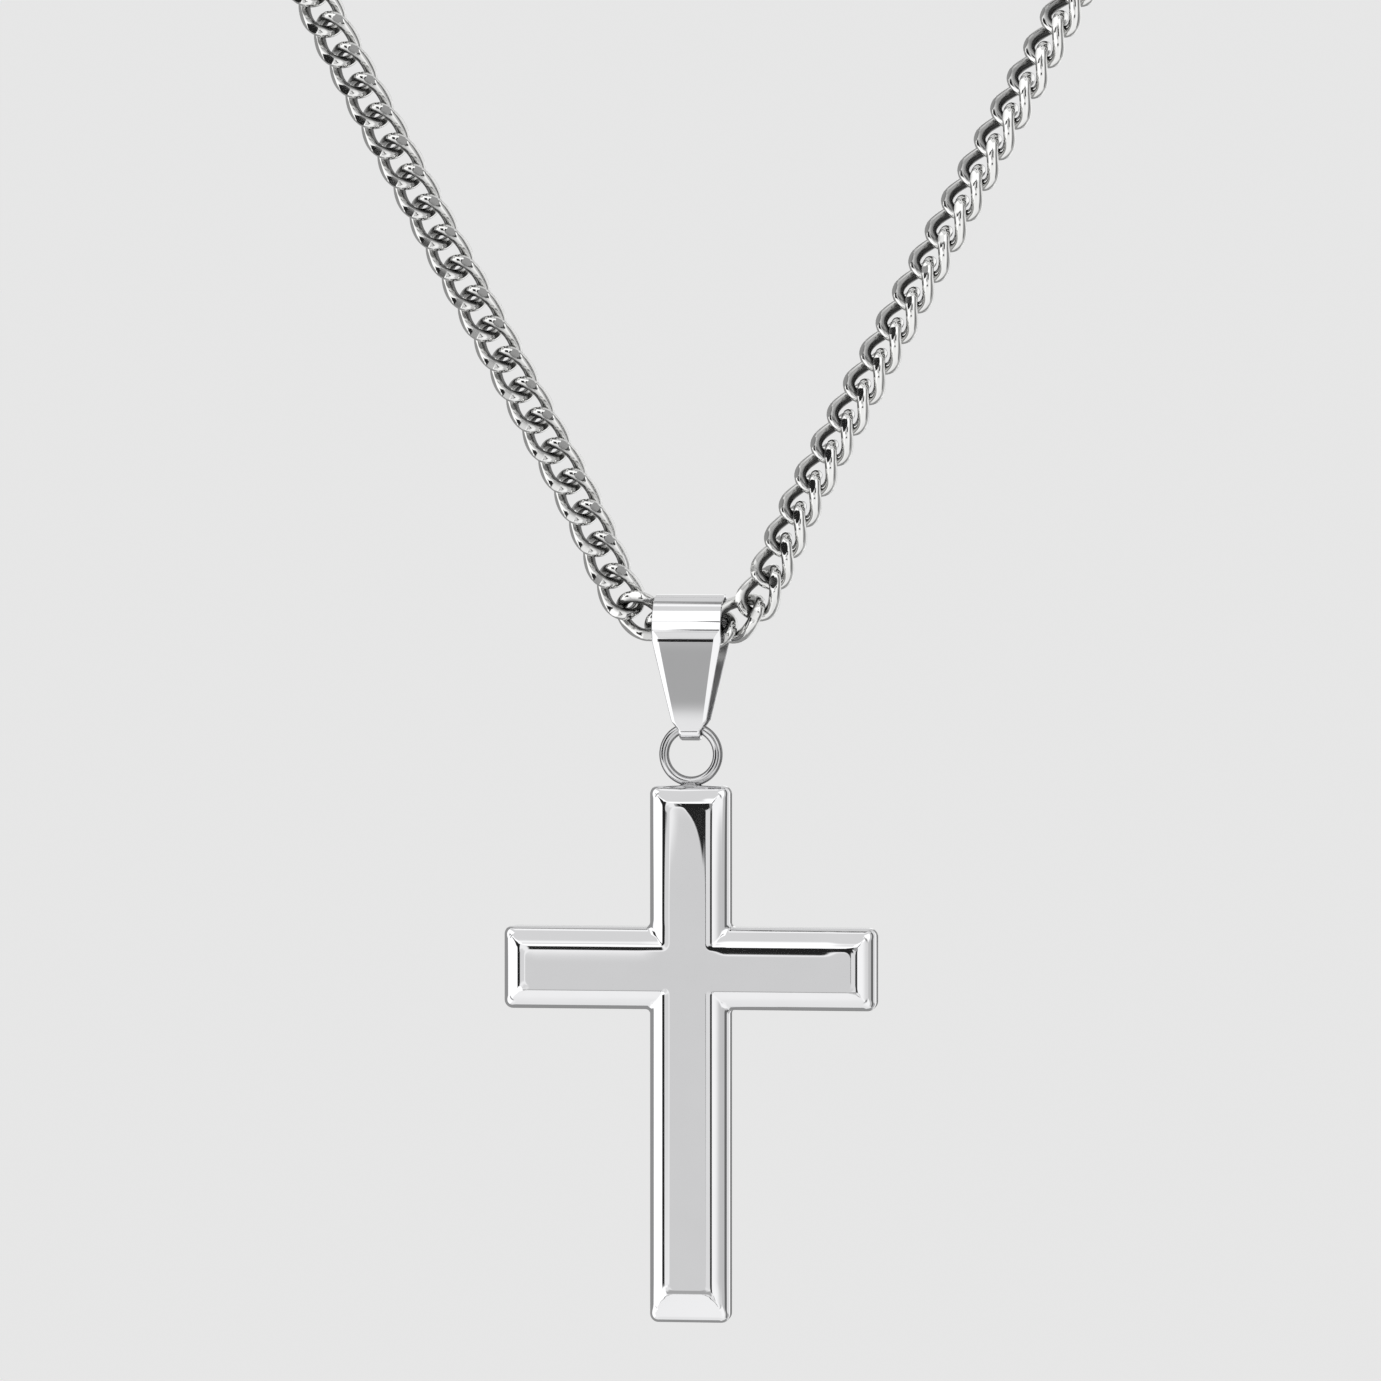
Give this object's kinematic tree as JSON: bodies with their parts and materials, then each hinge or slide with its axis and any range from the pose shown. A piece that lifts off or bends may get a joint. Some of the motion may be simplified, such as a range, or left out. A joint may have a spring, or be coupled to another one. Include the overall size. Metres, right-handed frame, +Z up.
{
  "type": "cross pendant necklace",
  "caption": "Polished steel cross with bevelled edges, hung by a ring and a folded bail from a curb chain that closes behind the neck.",
  "frame": {"origin": "the nape: the middle of the clasp's neck side, where the chain rests on the back of the neck", "axes": "+Z up, the front of the cross faces -Y, +X to the viewer's right when it is seen from the front"},
  "size_m": [0.126, 0.1197, 0.2018],
  "materials": {
    "cross_steel": "mirror-polished stainless steel",
    "bail_steel": "mirror-polished stainless steel strip",
    "chain_steel": "polished stainless steel wire with ground flats",
    "clasp_steel": "polished stainless steel"
  },
  "bodies": {
    "chain": {"chain_left": "chain_steel", "chain_right": "chain_steel", "clasp": "clasp_steel"},
    "bail": {"bail": "bail_steel"},
    "cross": {"cross": "cross_steel"}
  },
  "joints": [
    {"name": "bail_swing", "type": "hinge", "parent": "chain", "child": "bail", "pos_m": [0, -0.1133, -0.135], "axis": [1, 0, 0], "range_deg": [-75, 75]},
    {"name": "cross_swing", "type": "hinge", "parent": "bail", "child": "cross", "pos_m": [0, -0.1133, -0.1444], "axis": [1, 0, 0], "range_deg": [-75, 75]}
  ]
}
